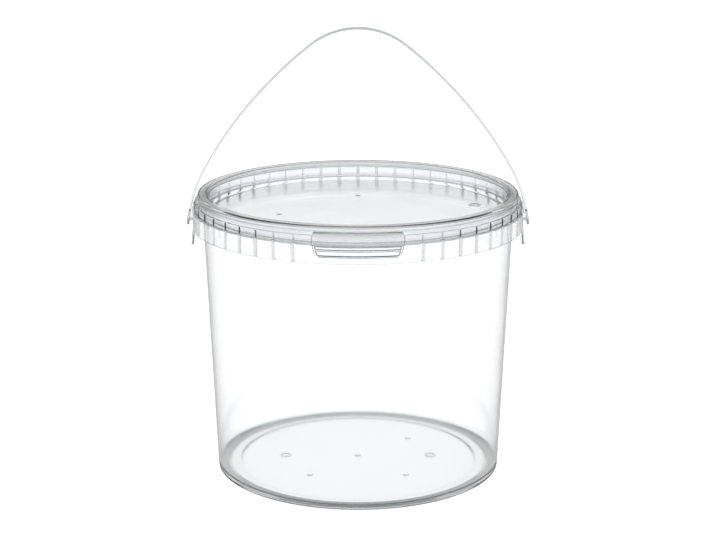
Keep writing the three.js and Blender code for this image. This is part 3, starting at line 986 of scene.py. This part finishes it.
def clear_plastic(name, tint, roughness, density):
    material = bpy.data.materials.new(name)
    material.use_nodes = True
    nodes, links = material.node_tree.nodes, material.node_tree.links
    shader = nodes["Principled BSDF"]
    shader.inputs["Transmission Weight"].default_value = 1
    shader.inputs["IOR"].default_value = PLASTIC_IOR
    links.new(shaded_colour(nodes, links, tint), shader.inputs["Base Color"])
    links.new(uneven_roughness(nodes, links, roughness), shader.inputs["Roughness"])
    links.new(wavy_surface(nodes, links), shader.inputs["Normal"])
    links.new(absorption(nodes, density), nodes["Material Output"].inputs["Volume"])
    return material


def set_material(piece, material):
    piece.data.materials.clear()
    piece.data.materials.append(material)


def make_camera():
    data = bpy.data.cameras.new("camera")
    data.sensor_width = SENSOR_WIDTH
    data.lens = CAMERA_FOCAL_PX / PHOTO_WIDTH * SENSOR_WIDTH
    camera = bpy.data.objects.new("camera", data)
    camera.location = (0, -CAMERA_DISTANCE, CAMERA_HEIGHT)
    camera.rotation_euler = (math.pi / 2 - CAMERA_PITCH, 0, 0)
    bpy.context.scene.collection.objects.link(camera)
    bpy.context.scene.camera = camera


def seen_share(nodes, links):
    """1 for rays from the camera and through the plastic, a lower share for its reflections, else 0."""
    path = nodes.new("ShaderNodeLightPath")
    value = path.outputs["Is Camera Ray"]
    for kind, share in (("Is Glossy Ray", MIRRORED_SHARE), ("Is Transmission Ray", 1)):
        scaled = nodes.new("ShaderNodeMath")
        scaled.operation = "MULTIPLY"
        links.new(path.outputs[kind], scaled.inputs[0])
        scaled.inputs[1].default_value = share
        either = nodes.new("ShaderNodeMath")
        either.operation = "MAXIMUM"
        links.new(value, either.inputs[0])
        links.new(scaled.outputs["Value"], either.inputs[1])
        value = either.outputs["Value"]
    return value


def make_world():
    """White where the camera looks past the object, and graded greys in what the plastic shows."""
    world = bpy.data.worlds.new("studio")
    bpy.context.scene.world = world
    world.use_nodes = True
    nodes, links = world.node_tree.nodes, world.node_tree.links
    background = nodes["Background"]
    path = nodes.new("ShaderNodeLightPath")
    place = nodes.new("ShaderNodeTexCoord")
    split = nodes.new("ShaderNodeSeparateXYZ")
    links.new(place.outputs["Generated"], split.inputs["Vector"])
    ramp = nodes.new("ShaderNodeValToRGB")
    stops = ramp.color_ramp.elements
    (_, lowest), *between, (_, highest) = STUDIO_LEVELS
    stops[0].color = (lowest, lowest, lowest, 1)
    stops[1].color = (highest, highest, highest, 1)
    for height, grey in between:
        stops.new(height).color = (grey, grey, grey, 1)
    links.new(split.outputs["Z"], ramp.inputs["Fac"])
    level = nodes.new("ShaderNodeMath")
    level.operation = "MAXIMUM"
    links.new(ramp.outputs["Color"], level.inputs[0])
    links.new(path.outputs["Is Camera Ray"], level.inputs[1])
    links.new(level.outputs["Value"], background.inputs["Color"])


def make_floor():
    top = -FLOOR_HAIRLINE
    outline = [(0, -FLOOR_DEPTH), (FLOOR_REACH, -FLOOR_DEPTH), (FLOOR_REACH, top), (0, top)]
    floor = revolved("floor", outline, segments=FLOOR_SEGMENTS)
    material = bpy.data.materials.new("pale_floor")
    material.use_nodes = True
    nodes, links = material.node_tree.nodes, material.node_tree.links
    shader = nodes["Principled BSDF"]
    shader.inputs["Base Color"].default_value = (FLOOR_GREY, FLOOR_GREY, FLOOR_GREY, 1)
    shader.inputs["Roughness"].default_value = FLOOR_ROUGHNESS
    shader.inputs["Specular IOR Level"].default_value = 0
    shader.inputs["Emission Color"].default_value = (1, 1, 1, 1)
    glow = nodes.new("ShaderNodeMath")
    glow.operation = "MULTIPLY"
    glow.inputs[1].default_value = FLOOR_GLOW
    links.new(seen_share(nodes, links), glow.inputs[0])
    links.new(glow.outputs["Value"], shader.inputs["Emission Strength"])
    set_material(floor, material)


cycles = bpy.context.scene.cycles
cycles.max_bounces = LIGHT_BOUNCES
cycles.transmission_bounces = LIGHT_BOUNCES
cycles.transparent_max_bounces = LIGHT_BOUNCES

make_camera()
make_world()
make_floor()
bucket_plastic = clear_plastic("clear_bucket", BODY_TINT, BUCKET_ROUGHNESS, BODY_DENSITY)
lid_plastic = clear_plastic("clear_lid", BODY_TINT, LID_ROUGHNESS, BODY_DENSITY)
handle_plastic = clear_plastic("clear_handle", HANDLE_TINT, HANDLE_ROUGHNESS, HANDLE_DENSITY)
set_material(make_bucket(), bucket_plastic)
set_material(make_lid(), lid_plastic)
set_material(make_tab(), lid_plastic)
set_material(hinge_film(), lid_plastic)
set_material(make_handle(), handle_plastic)

view_settings = bpy.context.scene.view_settings
view_settings.view_transform = "Standard"
